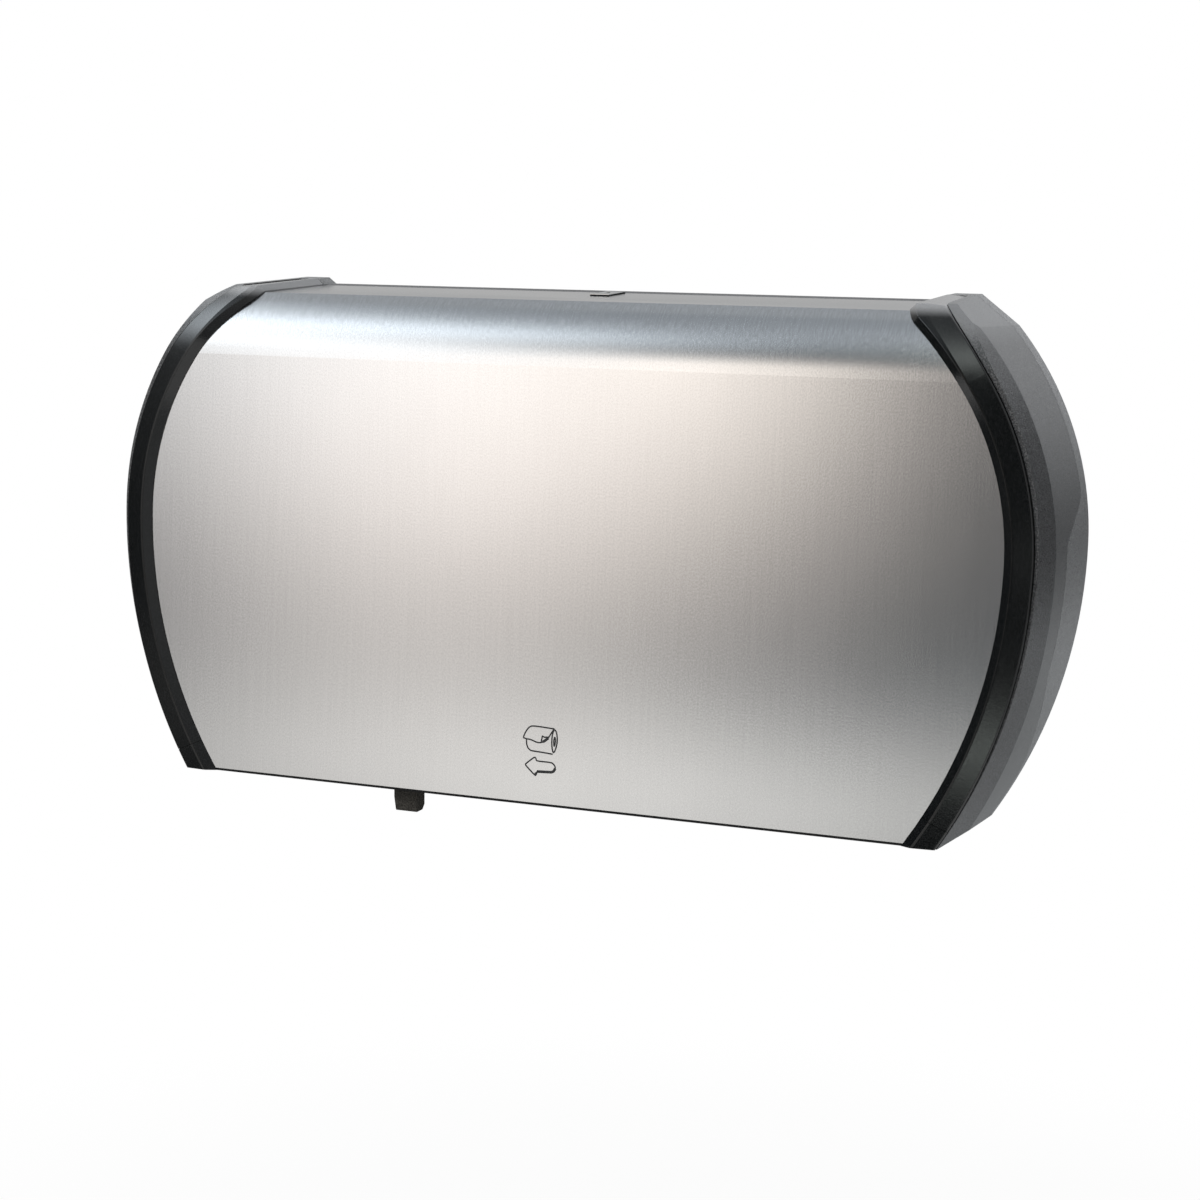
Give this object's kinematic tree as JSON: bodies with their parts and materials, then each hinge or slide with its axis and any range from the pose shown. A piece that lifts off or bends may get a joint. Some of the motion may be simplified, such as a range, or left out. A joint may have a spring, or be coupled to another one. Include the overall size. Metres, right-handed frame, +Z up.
{
  "type": "twin jumbo toilet tissue dispenser",
  "caption": "Wall-mounted dispenser for two large toilet tissue rolls side by side, with a hinged stainless steel cover, arc-shaped black trims and a sliding paper shutter.",
  "frame": {"origin": "on the wall face, midway between the two roll spindles and level with them, which is the middle of the four wall screws", "axes": "+X to the right seen from the front, +Y into the wall, +Z up"},
  "size_m": [0.5232, 0.1181, 0.2854],
  "materials": {
    "steel_panel": "vertically brushed stainless steel",
    "cover_shell": "black moulded plastic, matte",
    "cover_lip": "black plastic edge guard",
    "cover_stiffener": "zinc plated folded steel",
    "trim_left": "black plastic, semi-gloss",
    "trim_right": "black plastic, semi-gloss",
    "trim_tip_left": "black plastic, semi-gloss",
    "trim_tip_right": "black plastic, semi-gloss",
    "cheek_left": "charcoal plastic, fine texture",
    "cheek_right": "charcoal plastic, fine texture",
    "housing_side_left": "charcoal plastic, fine texture",
    "housing_side_right": "charcoal plastic, fine texture",
    "top_rail": "dark plastic",
    "back_plate": "dark moulded plastic",
    "shelf": "black moulded plastic",
    "shutter_rail_front": "black moulded plastic",
    "shutter_rail_back": "black moulded plastic",
    "shutter_plate": "dark grey plastic",
    "shutter_handle": "dark grey plastic",
    "tear_strip_left": "stamped steel",
    "tear_strip_right": "stamped steel",
    "spindle_post_left": "zinc plated steel",
    "spindle_post_right": "zinc plated steel",
    "spindle_cap_left": "black plastic",
    "spindle_cap_right": "black plastic",
    "hub_left": "light grey moulded plastic",
    "hub_right": "light grey moulded plastic",
    "spindle_screws": "zinc plated screws",
    "cap_screws": "zinc plated screws",
    "bracket_screws": "zinc plated screws",
    "hinge_bracket_left": "zinc plated steel",
    "hinge_bracket_right": "zinc plated steel",
    "hinge_pins": "ground steel dowels",
    "latch_lever": "satin nickel plated steel",
    "latch_bracket": "zinc plated steel",
    "latch_pin": "ground steel pin",
    "latch_springs": "spring steel",
    "latch_strike": "zinc plated steel"
  },
  "bodies": {
    "housing": {"housing_side_left": "housing_side_left", "housing_side_right": "housing_side_right", "top_rail": "top_rail", "back_plate": "back_plate", "shelf": "shelf", "shutter_rail_front": "shutter_rail_front", "shutter_rail_back": "shutter_rail_back", "tear_strip_left": "tear_strip_left", "tear_strip_right": "tear_strip_right", "spindle_post_left": "spindle_post_left", "spindle_post_right": "spindle_post_right", "spindle_cap_left": "spindle_cap_left", "spindle_cap_right": "spindle_cap_right", "spindle_screws": "spindle_screws", "cap_screws": "cap_screws", "bracket_screws": "bracket_screws", "hinge_bracket_left": "hinge_bracket_left", "hinge_bracket_right": "hinge_bracket_right", "hinge_pins": "hinge_pins", "latch_strike": "latch_strike"},
    "cover": {"steel_panel": "steel_panel", "cover_shell": "cover_shell", "cover_lip": "cover_lip", "cover_stiffener": "cover_stiffener", "trim_left": "trim_left", "trim_right": "trim_right", "trim_tip_left": "trim_tip_left", "trim_tip_right": "trim_tip_right", "cheek_left": "cheek_left", "cheek_right": "cheek_right", "latch_bracket": "latch_bracket", "latch_pin": "latch_pin", "latch_springs": "latch_springs"},
    "shutter": {"shutter_plate": "shutter_plate", "shutter_handle": "shutter_handle"},
    "hub_left_body": {"hub_left": "hub_left"},
    "hub_right_body": {"hub_right": "hub_right"},
    "latch": {"latch_lever": "latch_lever"}
  },
  "joints": [
    {"name": "cover_hinge", "type": "hinge", "parent": "housing", "child": "cover", "pos_m": [0, -0.021, -0.1325], "axis": [1, 0, 0], "range_deg": [0, 95]},
    {"name": "latch_pivot", "type": "hinge", "parent": "cover", "child": "latch", "pos_m": [0, -0.0385, 0.12612], "axis": [-1, 0, 0], "range_deg": [0, 6], "stiffness_Nm_per_rad": 0.3, "springref_deg": -5.73},
    {"name": "shutter_slide", "type": "slide", "parent": "housing", "child": "shutter", "axis": [1, 0, 0], "range_m": [0, 0.165]},
    {"name": "hub_left_spin", "type": "hinge", "parent": "housing", "child": "hub_left_body", "pos_m": [-0.118, -0.045, 0], "axis": [0, 1, 0], "continuous": true},
    {"name": "hub_right_spin", "type": "hinge", "parent": "housing", "child": "hub_right_body", "pos_m": [0.118, -0.045, 0], "axis": [0, 1, 0], "continuous": true}
  ]
}
